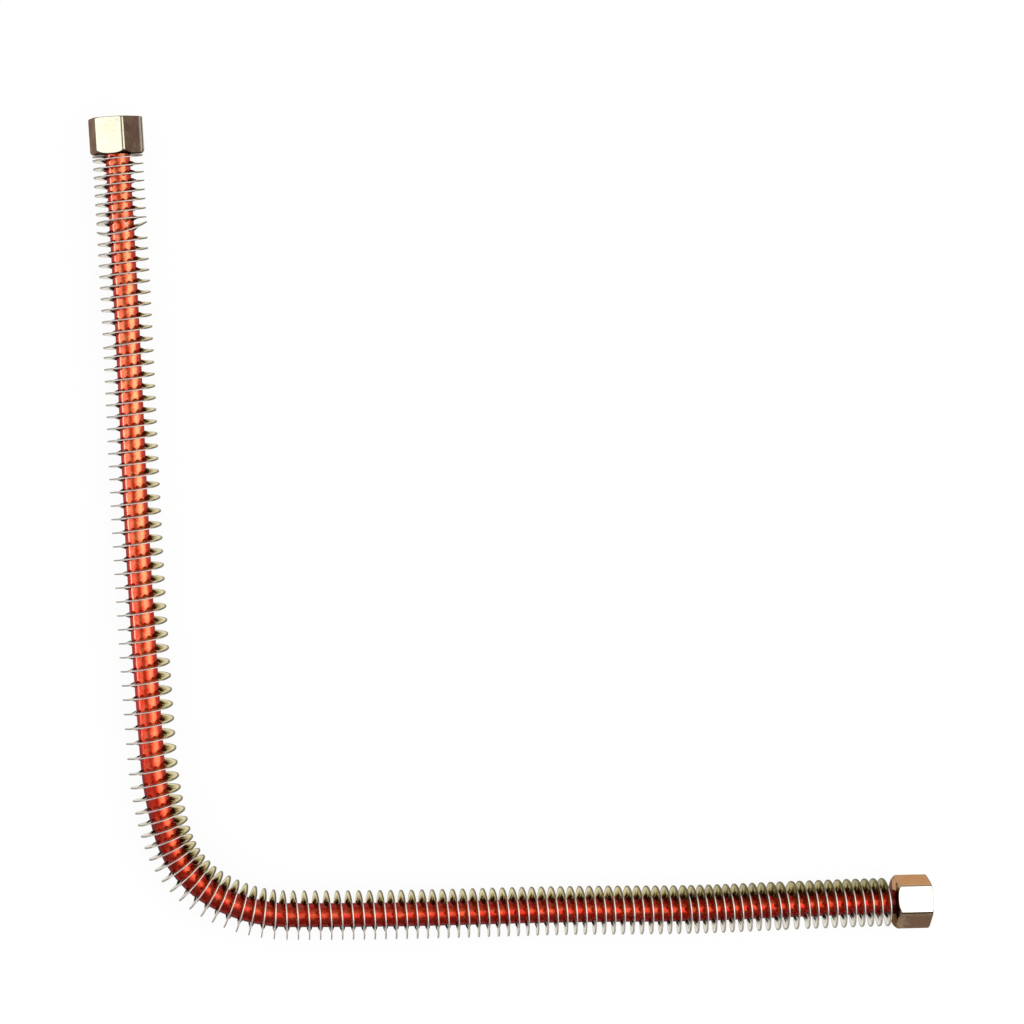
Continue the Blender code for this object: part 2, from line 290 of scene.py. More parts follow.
class NutSettings(bpy.types.PropertyGroup):
    across_flats: bpy.props.FloatProperty(
        name="Across flats", description="Size of the hexagon", default=0.024, unit="LENGTH"
    )
    length: bpy.props.FloatProperty(
        name="Length", description="Length of each nut", default=0.018, unit="LENGTH"
    )
    edge_radius: bpy.props.FloatProperty(
        name="Edge radius", description="Rounding of the long edges", default=0.00135, unit="LENGTH"
    )
    thread_minor: bpy.props.FloatProperty(
        name="Thread minor", description="Inner diameter of the thread", default=0.0184, unit="LENGTH"
    )
    thread_major: bpy.props.FloatProperty(
        name="Thread major", description="Outer diameter of the thread", default=0.020, unit="LENGTH"
    )
    thread_pitch: bpy.props.FloatProperty(
        name="Thread pitch", description="Pitch of the thread", default=0.0015, unit="LENGTH"
    )
    zinc: bpy.props.FloatVectorProperty(
        name="Zinc",
        description="Yellow bloom of the zinc plating",
        default=(0.62, 0.55, 0.34),
        subtype="COLOR",
    )
    zinc_brown: bpy.props.FloatVectorProperty(
        name="Brown zinc",
        description="Brown stain of the zinc plating",
        default=(0.36, 0.25, 0.19),
        subtype="COLOR",
    )
    brass: bpy.props.FloatVectorProperty(
        name="Brass",
        description="Colour of the cone sleeves",
        default=(0.62, 0.42, 0.14),
        subtype="COLOR",
    )


class StageSettings(bpy.types.PropertyGroup):
    floor_size: bpy.props.FloatProperty(
        name="Floor size", description="Side of the floor", default=8.0, unit="LENGTH"
    )
    floor_white: bpy.props.FloatProperty(
        name="Floor white",
        description="Share of plain white in the floor",
        default=0.93,
        min=0.0,
        max=1.0,
    )
    box_level: bpy.props.FloatProperty(
        name="Box level",
        description="Radiance of the soft boxes; 1 shows a colour as written",
        default=1.05,
        min=0.0,
    )


# Route and winding


def route_frame(distance):
    """Centre of the tube at a distance from the riser's end, the way along it and the bend's outer side."""
    heading = -sum(turn for length, turn in STRETCHES)
    centre = Vector((0, 0, 0))
    for length, turn in STRETCHES:
        step = min(distance, length)
        share = turn * step / length
        chord = step * sin(share / 2) / (share / 2) if share else step
        middle = heading + share / 2
        centre += chord * Vector((cos(middle), sin(middle), 0))
        heading += share
        distance -= step
        if distance <= 0:
            break
    along = Vector((cos(heading), sin(heading), 0))
    outer = Vector((sin(heading), -cos(heading), 0))
    return centre, along, outer


def evenly(values, start, end):
    """Stops of (distance, value) spread evenly from start to end."""
    step = (end - start) / (len(values) - 1)
    return [(start + step * i, value) for i, value in enumerate(values)]


def winding(nut_length, thickness, steps_per_turn):
    """Distance along the tube of each step of the winding. It starts flat against the riser's nut."""
    nut_rear = nut_length - TUBE_SETBACK
    start = nut_rear + FIN_NUT_GAP + thickness / 2
    end = ROUTE_LENGTH - nut_rear - FIN_END_GAP
    stops = evenly(RISER_PITCHES, start, RISER_FOOT)
    stops += evenly(BEND_PITCHES, RISER_FOOT + PITCH_DROP_LENGTH, BEND_END)
    stops += evenly(RUN_PITCHES, BEND_END, end)[1:]

    def pitch_at(distance):
        for (before, low), (after, high) in zip(stops, stops[1:]):
            if distance <= after:
                share = max(0.0, (distance - before) / (after - before))
                return low + (high - low) * share
        return stops[-1][1]

    places = [start] * (round(FIN_FLAT_START * steps_per_turn) + 1)
    while places[-1] < end:
        half_way = places[-1] + pitch_at(places[-1]) / steps_per_turn / 2
        places.append(places[-1] + pitch_at(half_way) / steps_per_turn)
    return places[:-1]


def lean(turn):
    """How far the strip's rim leans along the tube at a turn: on its upper side, and where it was knocked."""
    knocked = sum(far * math.exp(-(((turn - at) / spread) ** 2)) for at, far, spread in KNOCKED_TURNS)
    return FIN_TOP_LEAN * max(0.0, -sin(math.tau * turn)) + knocked


def end_matrix(end):
    """Axes of a nut at one end: Z out of the tube, X through a flat. The origin is its open face's middle."""
    distance, sign = (0.0, -1) if end == "riser" else (ROUTE_LENGTH, 1)
    centre, along, outer = route_frame(distance)
    outward = along * sign
    flat = UP * cos(NUT_TURNS[end]) + outer * sin(NUT_TURNS[end])
    matrix = Matrix((flat, outward.cross(flat), outward)).transposed().to_4x4()
    matrix.translation = ROOT + centre + outward * TUBE_SETBACK
    return matrix


# Shader groups


def shader_group(name, inputs, output):
    """A new node group with float, vector or colour inputs and one output; returns it and its two ends."""
    group = bpy.data.node_groups.new(name, "ShaderNodeTree")
    kinds = {"value": "NodeSocketFloat", "vector": "NodeSocketVector", "colour": "NodeSocketColor"}
    for socket, kind in inputs:
        group.interface.new_socket(socket, in_out="INPUT", socket_type=kinds[kind])
    group.interface.new_socket(output[0], in_out="OUTPUT", socket_type=kinds[output[1]])
    return group, group.nodes.new("NodeGroupInput"), group.nodes.new("NodeGroupOutput")


def noise_node(tree, vector, scale, detail=3.0, rough=0.55, warp=0.0):
    """A noise texture read at a vector; scale is a number or a socket."""
    node = tree.nodes.new("ShaderNodeTexNoise")
    node.inputs["Detail"].default_value = detail
    node.inputs["Roughness"].default_value = rough
    node.inputs["Distortion"].default_value = warp
    tree.links.new(vector, node.inputs["Vector"])
    if isinstance(scale, (int, float)):
        node.inputs["Scale"].default_value = scale
    else:
        tree.links.new(scale, node.inputs["Scale"])
    return node.outputs["Fac"]


def ramp_node(tree, value, low, high):
    """Value mapped smoothly from low..high to 0..1."""
    node = tree.nodes.new("ShaderNodeMapRange")
    node.interpolation_type = "SMOOTHSTEP"
    node.inputs["From Min"].default_value = low
    node.inputs["From Max"].default_value = high
    tree.links.new(value, node.inputs["Value"])
    return node.outputs["Result"]


def mix_node(tree, factor, first, second):
    """Mix of two colours. Each input is a socket, a number or a colour."""
    node = tree.nodes.new("ShaderNodeMix")
    node.data_type = "RGBA"
    for socket, value in ((node.inputs[0], factor), (node.inputs[6], first), (node.inputs[7], second)):
        if isinstance(value, bpy.types.NodeSocket):
            tree.links.new(value, socket)
        elif isinstance(value, (int, float)):
            socket.default_value = value
        else:
            socket.default_value = (*value, 1)
    return node.outputs[2]


def math_node(tree, operation, first, second=0.0, clamp=False):
    """A math node on sockets or numbers."""
    node = tree.nodes.new("ShaderNodeMath")
    node.operation = operation
    node.use_clamp = clamp
    for socket, value in zip(node.inputs, (first, second)):
        if isinstance(value, bpy.types.NodeSocket):
            tree.links.new(value, socket)
        else:
            socket.default_value = value
    return node.outputs[0]


def bloom_group():
    """Cloudy colour bloom of a passivated plating: two noise layers tint the base colour."""
    found = bpy.data.node_groups.get("plating_bloom")
    if found:
        return found
    inputs = (("Vector", "vector"), ("Scale", "value"), ("Base", "colour"), ("Bloom", "colour"),
              ("Stain", "colour"), ("Amount", "value"))
    group, start, end = shader_group("plating_bloom", inputs, ("Color", "colour"))
    broad = noise_node(group, start.outputs["Vector"], start.outputs["Scale"], 3.0, 0.6, 0.6)
    fine_scale = math_node(group, "MULTIPLY", start.outputs["Scale"], 3.7)
    fine = noise_node(group, start.outputs["Vector"], fine_scale, 4.0, 0.65, 0.3)
    first = math_node(group, "MULTIPLY", ramp_node(group, broad, 0.42, 0.66), start.outputs["Amount"])
    second = math_node(group, "MULTIPLY", ramp_node(group, fine, 0.52, 0.74), start.outputs["Amount"])
    tinted = mix_node(group, first, start.outputs["Base"], start.outputs["Bloom"])
    stained = mix_node(group, second, tinted, start.outputs["Stain"])
    group.links.new(stained, end.inputs["Color"])
    return group


def speckle_group():
    """Fine uneven height of a plated or lacquered surface."""
    found = bpy.data.node_groups.get("surface_speckle")
    if found:
        return found
    inputs = (("Vector", "vector"), ("Scale", "value"), ("Pits", "value"))
    group, start, end = shader_group("surface_speckle", inputs, ("Height", "value"))
    soft = noise_node(group, start.outputs["Vector"], start.outputs["Scale"], 4.0, 0.6)
    pit_scale = math_node(group, "MULTIPLY", start.outputs["Scale"], 2.3)
    pits = noise_node(group, start.outputs["Vector"], pit_scale, 2.0, 0.5)
    holes = math_node(group, "MULTIPLY", ramp_node(group, pits, 0.62, 0.72), start.outputs["Pits"])
    group.links.new(math_node(group, "SUBTRACT", soft, holes), end.inputs["Height"])
    return group


def new_material(name, roughness, metallic, coat=0.0, coat_roughness=0.05):
    """A Principled material with its constant values set; returns it, its tree and its shader."""
    material = bpy.data.materials.new(name)
    material.use_nodes = True
    tree = material.node_tree
    shader = tree.nodes["Principled BSDF"]
    shader.inputs["Roughness"].default_value = roughness
    shader.inputs["Metallic"].default_value = metallic
    shader.inputs["Coat Weight"].default_value = coat
    shader.inputs["Coat Roughness"].default_value = coat_roughness
    return material, tree, shader


def object_point(tree):
    """The object's own coordinates."""
    return tree.nodes.new("ShaderNodeTexCoord").outputs["Object"]


def attribute_value(tree, name):
    """The value that the mesh carries under a name."""
    node = tree.nodes.new("ShaderNodeAttribute")
    node.attribute_name = name
    return node.outputs["Fac"]


def add_speckle(tree, shader, point, scale, pits, strength, distance):
    """Bump from the shared speckle group."""
    node = tree.nodes.new("ShaderNodeGroup")
    node.node_tree = speckle_group()
    tree.links.new(point, node.inputs["Vector"])
    node.inputs["Scale"].default_value = scale
    node.inputs["Pits"].default_value = pits
    bump = tree.nodes.new("ShaderNodeBump")
    bump.inputs["Strength"].default_value = strength
    bump.inputs["Distance"].default_value = distance
    tree.links.new(node.outputs["Height"], bump.inputs["Height"])
    tree.links.new(bump.outputs["Normal"], shader.inputs["Normal"])


def add_bloom(tree, point, scale, base, bloom, stain, amount):
    """Colour from the shared bloom group. base may be a socket."""
    node = tree.nodes.new("ShaderNodeGroup")
    node.node_tree = bloom_group()
    tree.links.new(point, node.inputs["Vector"])
    node.inputs["Scale"].default_value = scale
    for name, colour in (("Base", base), ("Bloom", bloom), ("Stain", stain)):
        if isinstance(colour, bpy.types.NodeSocket):
            tree.links.new(colour, node.inputs[name])
        else:
            node.inputs[name].default_value = (*colour, 1)
    node.inputs["Amount"].default_value = amount
    return node.outputs["Color"]


# Meshes


def mesh_object(name, bm, material, body, replaced):
    """An object from a bmesh, in place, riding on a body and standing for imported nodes."""
    bmesh.ops.recalc_face_normals(bm, faces=bm.faces)
    mesh = bpy.data.meshes.new(name)
    bm.to_mesh(mesh)
    bm.free()
    made = bpy.data.objects.new(name, mesh)
    mesh.materials.append(material)
    bpy.context.scene.collection.objects.link(made)
    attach(made, body)
    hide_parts(*replaced)
    return made


def soften(made, angle):
    """Smooth shading with edges over the angle kept sharp."""
    made.data.shade_smooth()
    made.data.set_sharp_from_angle(angle=radians(angle))


def ring_edges(bm, ring):
    """The edges round a ring of vertices."""
    return [bm.edges.get((ring[i], ring[(i + 1) % len(ring)])) for i in range(len(ring))]


def next_ring(bm, ring, place):
    """Extrudes the last ring and puts each new vertex where place(index) says."""
    grown = bmesh.ops.extrude_edge_only(bm, edges=ring_edges(bm, ring))["geom"]
    fresh = {vert for vert in grown if isinstance(vert, bmesh.types.BMVert)}
    following = []
    for vert in ring:
        twin = [e.other_vert(vert) for e in vert.link_edges if e.other_vert(vert) in fresh]
        following.append(twin[0])
    for index, vert in enumerate(following):
        vert.co = place(index)
    return following


def first_ring(bm, count, place):
    """A circle of vertices, put where place(index) says, in their order."""
    ring = bmesh.ops.create_circle(bm, cap_ends=False, radius=1.0, segments=count)["verts"]
    for index, vert in enumerate(ring):
        vert.co = place(index)
    return ring


def close_rings(bm, last, first):
    """Joins the last ring to the first."""
    bmesh.ops.bridge_loops(bm, edges=ring_edges(bm, last) + ring_edges(bm, first))


def tube_mesh(radius, wall):
    """The hollow tube, swept along the route in rings; attributes keep the distance and the side."""
    count = round(ROUTE_LENGTH / TUBE_STEP)
    bm = bmesh.new()
    layers = [bm.verts.layers.float.new(name) for name in ("along", "flank", "inward", "bead")]
    stations = [(0.0, radius - TUBE_EDGE_BREAK), (TUBE_EDGE_BREAK, radius)]
    stations += [(ROUTE_LENGTH * i / count, radius) for i in range(1, count)]
    stations += [(ROUTE_LENGTH - TUBE_EDGE_BREAK, radius), (ROUTE_LENGTH, radius - TUBE_EDGE_BREAK)]
    stations += [(ROUTE_LENGTH * (count - i) / count, radius - wall) for i in range(count + 1)]

    def placer(distance, ring_radius):
        centre, along, outer = route_frame(distance)

        def place(index):
            angle = math.tau * index / TUBE_SIDES
            return ROOT + centre + (outer * cos(angle) - UP * sin(angle)) * ring_radius

        return place

    start = ring = first_ring(bm, TUBE_SIDES, placer(*stations[0]))
    rings = [start]
    for station in stations[1:]:
        ring = next_ring(bm, ring, placer(*station))
        rings.append(ring)
    close_rings(bm, ring, start)
    for station, ring in zip(stations, rings):
        for index, vert in enumerate(ring):
            facing = cos(math.tau * index / TUBE_SIDES)
            for layer, value in zip(layers, (station[0], abs(facing), (1 - facing) / 2)):
                vert[layer] = value
    bead = Matrix.Translation(BEAD_PLACE) @ Matrix.Diagonal((*BEAD_SIZE, 1.0))
    for vert in bmesh.ops.create_icosphere(bm, subdivisions=2, radius=1.0, matrix=bead)["verts"]:
        vert[layers[-1]] = 1.0
    return bm


def fin_mesh(fin, tube, nut):
    """The fin strip: a flat sheet wound round the tube, flat at its rim and crimped at its root."""
    places = winding(nut.length, FIN_START_THICKNESS, fin.steps)
    bm = bmesh.new()
    layers = [bm.verts.layers.float.new(name) for name in ("along", "across", "flank", "inward")]
    bmesh.ops.create_grid(bm, x_segments=len(places) - 1, y_segments=len(FIN_BANDS) - 1, size=0.5)
    inner = tube.diameter / 2 + FIN_ROOT_GAP
    outer = fin.diameter / 2
    for vert in bm.verts:
        step = round((vert.co.x + 0.5) * (len(places) - 1))
        share = FIN_BANDS[round((vert.co.y + 0.5) * (len(FIN_BANDS) - 1))]
        turn = step / fin.steps
        angle = math.tau * turn
        centre, along, side = route_frame(places[step])
        crimp = max(0.0, 1 - share / FIN_CRIMP_REACH)
        swing = fin.crimp_depth * crimp * crimp * (3 - 2 * crimp) * sin(math.tau * fin.crimps * turn)
        if turn < FIN_FLAT_START + FIN_WEAK_CRIMP_TURNS:
            swing = max(swing, 0) * FIN_WEAK_CRIMP_SWING
        across = side * cos(angle) - UP * sin(angle)
        radius = inner + (outer - inner) * share
        vert.co = ROOT + centre + across * radius + along * (lean(turn) * share + swing)
        for layer, value in zip(layers, (places[step], share, abs(cos(angle)), (1 - cos(angle)) / 2)):
            vert[layer] = value
    return bm


def sextant_angles(apothem, edge_radius):
    """Angles round the nut with the hexagon's radius at each, and the angle where a flat's edge starts."""
    tangent = math.atan2((apothem - edge_radius) * tan(radians(30)), apothem)
    arc_centre = (apothem - edge_radius) / cos(radians(30))
    half = [tangent * share for share in NUT_FLAT_STOPS]
    flats = [-local for local in reversed(half)] + [0.0] + half
    span = radians(60) - 2 * tangent
    arcs = [tangent + span * k / NUT_ARC_STEPS for k in range(1, NUT_ARC_STEPS)]
    spots = []
    for facet in range(6):
        for local in flats + arcs:
            if abs(local) <= tangent + 1e-9:
                radius = apothem / cos(local)
            else:
                from_corner = radians(30) - local
                reach = arc_centre * sin(from_corner)
                radius = arc_centre * cos(from_corner) + math.sqrt(edge_radius**2 - reach**2)
            spots.append((facet * radians(60) + local, radius))
    return spots, tangent


def nut_mesh(nut, tube, matrix, tints_and_reflections, highlight_bands, rear_reflections):
    """A union nut: rings from the rear bore over the chamfered hexagon and down the threaded socket."""
    spots, tangent = sextant_angles(nut.across_flats / 2, nut.edge_radius)
    length = nut.length
    minor = nut.thread_minor / 2
    major = nut.thread_major / 2
    bore = tube.diameter / 2 + NUT_RUNNING_GAP
    mouth = major + THREAD_MOUTH_MARGIN
    shoulder = -length + NUT_REAR_WALL
    thread_end = shoulder + minor - bore + THREAD_RUNOUT
    rise = tan(NUT_CHAMFER)

    def round_ring(radius, height):
        return lambda i: (radius, height)

    def rear_ring(i):
        reach = (spots[i][1] - nut.across_flats / 2) / NUT_REAR_REACH
        return spots[i][1], -length + NUT_REAR_RIM + NUT_REAR_ROUNDING * reach**NUT_REAR_CURVE

    def front_ring(i):
        drop = max((spots[i][1] - NUT_FRONT_FACE_RADIUS) * rise, NUT_FRONT_RIM)
        return spots[i][1], -NUT_FACE_INSET - drop

    def face_ring(face_radius, height):
        return lambda i: (min(face_radius, spots[i][1] - NUT_EDGE_BREAK), height)

    def thread_ring(height):
        def at(i):
            phase = (height / nut.thread_pitch + spots[i][0] / math.tau) % 1.0
            crest = abs(2 * phase - 1)
            fade = min(1.0, max(0.0, (-THREAD_FADE_START - height) / nut.thread_pitch))
            depth = (major - minor) * min(1.0, max(0.0, crest * 1.3 - 0.15)) * fade
            return (minor + depth, height)

        return at

    rings = [
        round_ring(bore + 0.3 * MM, -length),
        face_ring(NUT_REAR_FACE_RADIUS, -length),
        rear_ring,
        lambda i: (spots[i][1], rear_ring(i)[1] + NUT_LINE_WIDTH),
        lambda i: (spots[i][1], front_ring(i)[1] - NUT_LINE_WIDTH),
        front_ring,
        face_ring(NUT_FRONT_FACE_RADIUS, -NUT_FACE_INSET),
        round_ring(mouth, -NUT_FACE_INSET),
        round_ring(minor + 0.1 * MM, minor - mouth),
    ]
    broken_edges = (1, 2, 5, 6, 7)
    height = minor - mouth - 0.1 * MM
    while height > thread_end:
        rings.append(thread_ring(height))
        height -= nut.thread_pitch / THREAD_STEPS
    rings += [
        round_ring(minor + 0.2 * MM, thread_end - 0.2 * MM),
        round_ring(minor, shoulder + minor - bore),
        round_ring(bore, shoulder),
        round_ring(bore, -length + 0.3 * MM),
    ]
    bm = bmesh.new()
    # The plating colours hold each flat's tint with its painted highlights, shade and reflections
    layer = bm.verts.layers.float_color.new("plating")

    def tint(index):
        """Tint at a place round the nut: its flat's own, or that of a corner's painted highlight band and
        painted shade lines.
        """
        turn = spots[index][0] / radians(60)
        from_flat = abs(turn - round(turn)) * radians(60)
        highlight_banded = math.floor(turn) % 6 in highlight_bands
        if abs(from_flat - (tangent if highlight_banded else radians(30))) < 1e-6:
            return NUT_SHADE_LINE_TINT
        if highlight_banded and turn > round(turn) and abs(from_flat - NUT_HIGHLIGHT_STOP * tangent) < 1e-6:
            return NUT_HIGHLIGHT_TINT
        return NUT_EDGE_HIGHLIGHT if highlight_banded and from_flat > tangent else tints_and_reflections[round(turn) % 6]

    def ring_tint(number, index):
        """Tint of a ring there: the rear's painted shade and reflections, the painted shade lines at the
        hexagon's ends, its flats, and the faces inside.
        """
        if number > 5:
            return NUT_FACE_TINT
        if number < 2:
            return NUT_REAR_REFLECTION_TINT if round(spots[index][0] / radians(60)) % 6 in rear_reflections else NUT_REAR_SHADE
        if number in (2, 5):
            return Vector(tint(index)).lerp(Vector(NUT_SHADE_LINE_TINT), NUT_SHADE_LINE_SHARE)
        return tint(index)

    def placer(ring):
        def place(i):
            radius, height = ring(i)
            angle = spots[i][0]
            return matrix @ Vector((radius * cos(angle), radius * sin(angle), height))

        return place

    start = ring = first_ring(bm, len(spots), placer(rings[0]))
    kept = [start]
    for shape in rings[1:]:
        ring = next_ring(bm, ring, placer(shape))
        kept.append(ring)
    close_rings(bm, ring, start)
    for number, ring in enumerate(kept):
        for index, vert in enumerate(ring):
            vert[layer] = (*ring_tint(number, index), 1.0)
    edges = [edge for number in broken_edges for edge in ring_edges(bm, kept[number])]
    bmesh.ops.bevel(
        bm, geom=edges, offset=NUT_EDGE_BEVEL, segments=1, profile=0.5, affect="EDGES", material=-1
    )
    return bm


def sleeve_mesh(nut, tube, matrix):
    """The cone sleeve, spun round the nut's axis, seated on the nut's shoulder."""
    inner = tube.diameter / 2 + SLEEVE_FIT_GAP
    outer = nut.thread_minor / 2 - SLEEVE_THREAD_GAP
    heel = inner + SLEEVE_HEEL_WALL
    shoulder = -nut.length + NUT_REAR_WALL + NUT_RUNNING_GAP * math.sqrt(2)
    base = shoulder + heel - (tube.diameter / 2 + NUT_RUNNING_GAP)
    profile = (
        (inner, base + SLEEVE_LENGTH),
        (inner + SLEEVE_NOSE_WALL, base + SLEEVE_LENGTH),
        (outer, base + SLEEVE_LENGTH - SLEEVE_NOSE_LENGTH),
        (outer, base + outer - heel),
        (heel, base),
        (inner, base),
    )
    bm = bmesh.new()
    verts = [bm.verts.new((radius, 0, height)) for radius, height in profile]
    edges = [bm.edges.new((verts[i], verts[(i + 1) % len(verts)])) for i in range(len(verts))]
    bmesh.ops.spin(
        bm,
        geom=verts + edges,
        cent=(0, 0, 0),
        axis=(0, 0, 1),
        angle=math.tau,
        steps=64,
        use_merge=True,
        use_duplicate=False,
    )
    bmesh.ops.remove_doubles(bm, verts=bm.verts, dist=1e-6)
    bmesh.ops.transform(bm, matrix=matrix, verts=bm.verts)
    return bm


# Materials


def streak_node(tree, value, middle, reach):
    """1 where a value is at the middle, falling to 0 at its reach."""
    away = math_node(tree, "ABSOLUTE", math_node(tree, "SUBTRACT", value, middle))
    return ramp_node(tree, away, reach, reach * 0.15)


def lacquer_material(tube):
    """Red lacquer over copper: two painted highlight streaks, deeper down the riser, and painted shade on the
    flanks.
    """
    material, tree, shader = new_material(
        "red_lacquered_copper", 0.32, LACQUER_METAL, coat=0.2, coat_roughness=0.12
    )
    shader.inputs["Specular Tint"].default_value = (0.45, 0.1, 0.1, 1)
    point = object_point(tree)
    along = attribute_value(tree, "along")
    inward = attribute_value(tree, "inward")
    flank = attribute_value(tree, "flank")
    bead = attribute_value(tree, "bead")

    # Two painted highlight streaks along the tube, weaker on the run
    share = ramp_node(tree, along, 0.12, 0.34)
    base = mix_node(tree, share, tuple(tube.lacquer), tuple(tube.lacquer_deep))
    run_share = ramp_node(tree, along, RISER_FOOT, BEND_END)
    warm = math_node(tree, "SUBTRACT", 1.0, math_node(tree, "MULTIPLY", run_share, 0.75))
    left = math_node(tree, "MULTIPLY", streak_node(tree, inward, 0.27, 0.16), warm)
    right = math_node(tree, "MULTIPLY", streak_node(tree, inward, 0.695, 0.15), warm)
    streak_highlighted = mix_node(tree, left, base, mix_node(tree, share, *LACQUER_OUTER_HIGHLIGHT))
    streak_highlighted = mix_node(tree, right, streak_highlighted, mix_node(tree, share, *LACQUER_INNER_HIGHLIGHT))
    glow = mix_node(tree, share, *LACQUER_GLOW)
    colour = add_bloom(tree, point, 330.0, streak_highlighted, glow, tube.lacquer_deep, 0.45)

    # Painted shade on the flanks, and on the outer half from the bend on
    outer_side = ramp_node(tree, inward, 0.5, 0.4)
    bent = ramp_node(tree, along, RISER_FOOT - 0.03, 0.6 * RISER_FOOT + 0.4 * BEND_END)
    outer_half = math_node(tree, "MULTIPLY", outer_side, bent)
    shaded = math_node(tree, "MULTIPLY", ramp_node(tree, flank, 0.1, 0.8), outer_half)
    sided = mix_node(tree, math_node(tree, "MULTIPLY", shaded, 0.9), colour, LACQUER_SHADED)
    darkens = mix_node(tree, bent, tuple(tube.painted_flank_shade), mix_node(tree, outer_side, *LACQUER_EDGE_SHADES))
    edge = math_node(tree, "MULTIPLY", ramp_node(tree, flank, 0.5, 0.95), 0.9)
    flanked = mix_node(tree, edge, sided, darkens)

    # A fine painted highlight line along the riser, painted shade at the run's end by its nut, and the bead
    upper = math_node(tree, "MULTIPLY", ramp_node(tree, along, 0.32, 0.24), 0.6)
    highlight_line = math_node(tree, "MULTIPLY", streak_node(tree, inward, 0.16, 0.035), upper)
    highlight_lined = mix_node(tree, highlight_line, flanked, LACQUER_HIGHLIGHT_LINE)
    nut_shade = ramp_node(tree, along, ROUTE_LENGTH - NUT_SHADE_START, ROUTE_LENGTH - NUT_SHADE_FULL)
    dark = mix_node(tree, nut_shade, highlight_lined, LACQUER_NUT_SHADE)
    tree.links.new(mix_node(tree, bead, dark, BEAD_COLOUR), shader.inputs["Base Color"])
    metal = math_node(tree, "MULTIPLY", math_node(tree, "SUBTRACT", 1.0, bead), LACQUER_METAL)
    tree.links.new(metal, shader.inputs["Metallic"])
    add_speckle(tree, shader, point, 600.0, 0.5, 0.2, 0.0002)
    return material


def strip_material(fin):
    """Thin plated strip: grey on the bend's outer side, olive inside it, with painted shade at its root and
    beside its rim, and a painted highlight on top of its rim.
    """
    metallic = 0.95
    roughness = 0.26
    material, tree, shader = new_material("passivated_strip", roughness, metallic)
    shader.inputs["Specular Tint"].default_value = (0.9, 0.85, 0.7, 1)
    point = object_point(tree)
    along = attribute_value(tree, "along")
    across = attribute_value(tree, "across")
    flank = attribute_value(tree, "flank")
    inward = ramp_node(tree, attribute_value(tree, "inward"), 0.3, 0.7)

    # The sheet's faces
    olive = mix_node(tree, ramp_node(tree, along, 0.56, 0.67), tuple(fin.olive), STRIP_LATER)
    bloomed = add_bloom(tree, point, 70.0, olive, STRIP_BLOOM, STRIP_STAIN, 0.4)
    base = mix_node(tree, inward, tuple(fin.grey), bloomed)
    # Painted shade with the plating's yellow toward the root on the bend's inner side
    inner = math_node(tree, "MULTIPLY", ramp_node(tree, across, 0.7, 0.42), inward)
    inner_shaded = mix_node(tree, math_node(tree, "MULTIPLY", inner, 0.85), base, STRIP_INNER)

    # Its root: red on top from the lacquer and from a painted reflection of the red tube, and painted shade in
    # the hollows at the sides
    hollow = mix_node(tree, inward, *STRIP_ROOT_SHADES)
    root = mix_node(tree, ramp_node(tree, flank, 0.65, 0.9), STRIP_ROOT, hollow)
    root_share = math_node(tree, "MULTIPLY", ramp_node(tree, across, 0.42, 0.16), 0.92)
    rooted = mix_node(tree, root_share, inner_shaded, root)

    # A painted shade line beside the rim, and the rim itself, with a painted highlight on top and painted shade
    # at the sides
    line = math_node(tree, "MULTIPLY", ramp_node(tree, across, 0.84, 0.9), 0.9)
    lined = mix_node(tree, line, rooted, mix_node(tree, inward, *STRIP_SHADE_LINES))
    side_rim_shade = math_node(tree, "MULTIPLY", ramp_node(tree, flank, 0.5, 0.76), 0.92)
    edge = mix_node(tree, side_rim_shade, STRIP_LIT_RIM, mix_node(tree, inward, *STRIP_SHADED_RIMS))
    rim = ramp_node(tree, across, 0.99, 0.999)
    tree.links.new(mix_node(tree, rim, lined, edge), shader.inputs["Base Color"])
    metal = math_node(tree, "SUBTRACT", metallic, math_node(tree, "MULTIPLY", rim, 0.2))
    tree.links.new(metal, shader.inputs["Metallic"])
    rough = math_node(tree, "ADD", roughness, math_node(tree, "MULTIPLY", rim, 0.1))
    tree.links.new(rough, shader.inputs["Roughness"])
    add_speckle(tree, shader, point, 700.0, 0.3, 0.1, 0.0002)
    return material


def zinc_material(nut):
    """Yellow zinc plating whose colour changes from flat to flat round the nut: partly its own tint, partly
    painted reflections, highlight and shade.
    """
    material, tree, shader = new_material("yellow_zinc", 0.14, 1.0)
    shader.inputs["Specular Tint"].default_value = (0.45, 0.36, 0.3, 1)
    point = object_point(tree)
    # The plating colours carry painted highlights, shade and reflections as well as the zinc's tint
    tint = tree.nodes.new("ShaderNodeAttribute")
    tint.attribute_name = "plating"
    colour = add_bloom(tree, point, 110.0, tint.outputs["Color"], nut.zinc, nut.zinc_brown, 0.22)
    tree.links.new(colour, shader.inputs["Base Color"])
    add_speckle(tree, shader, point, 900.0, 0.4, 0.08, 0.0002)
    return material


def brass_material(nut):
    """Plain turned brass."""
    material, tree, shader = new_material("turned_brass", 0.3, 1.0)
    point = object_point(tree)
    colour = add_bloom(tree, point, 150.0, tuple(nut.brass), (0.5, 0.3, 0.1), (0.3, 0.2, 0.1), 0.4)
    tree.links.new(colour, shader.inputs["Base Color"])
    add_speckle(tree, shader, point, 900.0, 0.2, 0.1, 0.0002)
    return material


# Operators


class OBJECT_OT_finned_tube_tube(bpy.types.Operator):
    """Builds the lacquered tube along its route"""

    bl_idname = "object.finned_tube_tube"
    bl_label = "Tube"

    def execute(self, context):
        tube = context.scene.tube_settings
        bm = tube_mesh(tube.diameter / 2, tube.wall)
        made = mesh_object("lacquered_tube", bm, lacquer_material(tube), BODY, ("tube",))
        soften(made, 30)
        return {"FINISHED"}


